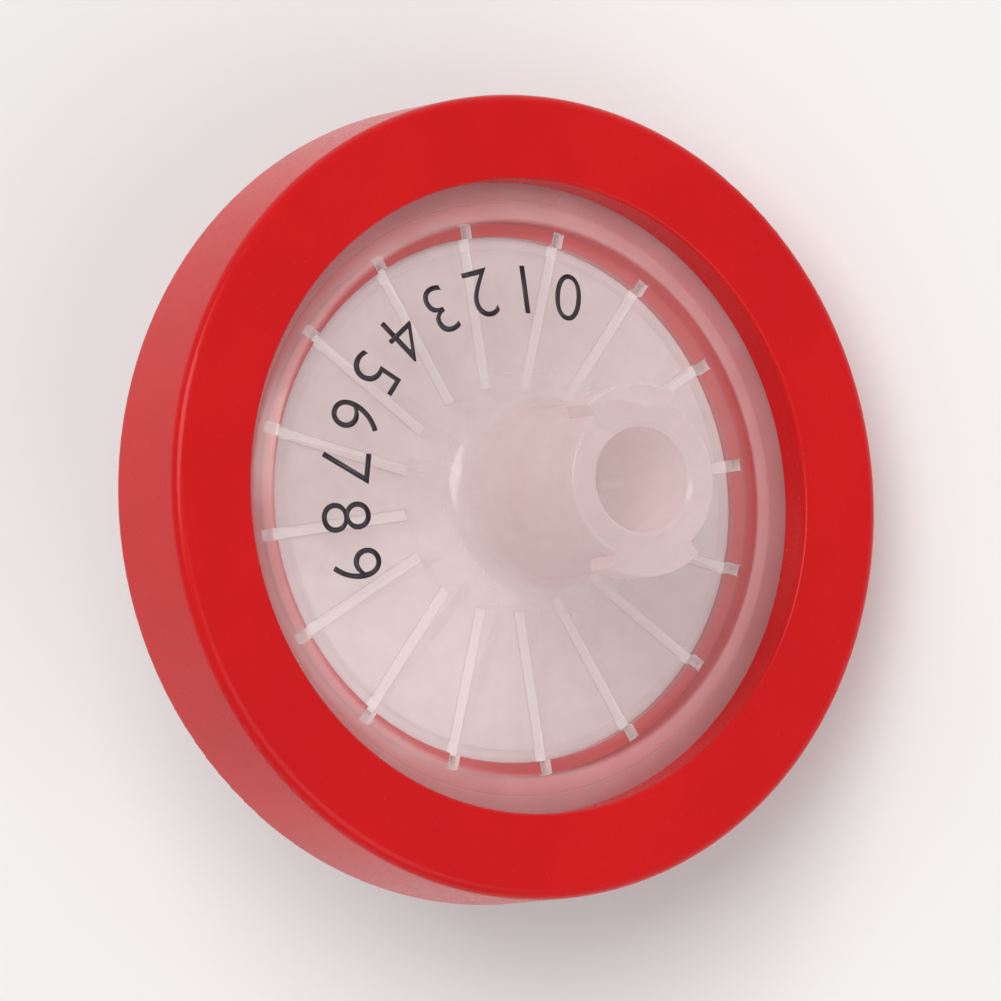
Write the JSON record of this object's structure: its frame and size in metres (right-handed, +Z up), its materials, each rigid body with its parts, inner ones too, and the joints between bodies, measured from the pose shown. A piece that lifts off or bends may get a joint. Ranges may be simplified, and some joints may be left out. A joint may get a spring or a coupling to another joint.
{
  "type": "syringe filter",
  "caption": "Disposable disc filter: two clear half-shells round a white membrane, a moulded-on ring, a luer-lock inlet hub and a luer-slip outlet tip.",
  "frame": {"origin": "on the surface that the filter lies on, straight below the middle of the ring", "axes": "+Z up with the filter lying at rest on the ring's lower edge and the end of the outlet tip; +X the way the inlet hub leans; the filter's own axis lies in the XZ plane, 29.84 degrees from +Z"},
  "size_m": [0.031, 0.033, 0.0221],
  "materials": {
    "ring_plastic": "opaque red polypropylene, satin gloss",
    "shell_plastic": "natural polypropylene, milky and see-through",
    "membrane": "matt white filter membrane",
    "ink": "black pad-printing ink"
  },
  "bodies": {
    "root": {"overmould_ring": "ring_plastic", "inlet_shell": "shell_plastic", "outlet_shell": "shell_plastic", "membrane": "membrane"}
  },
  "joints": []
}
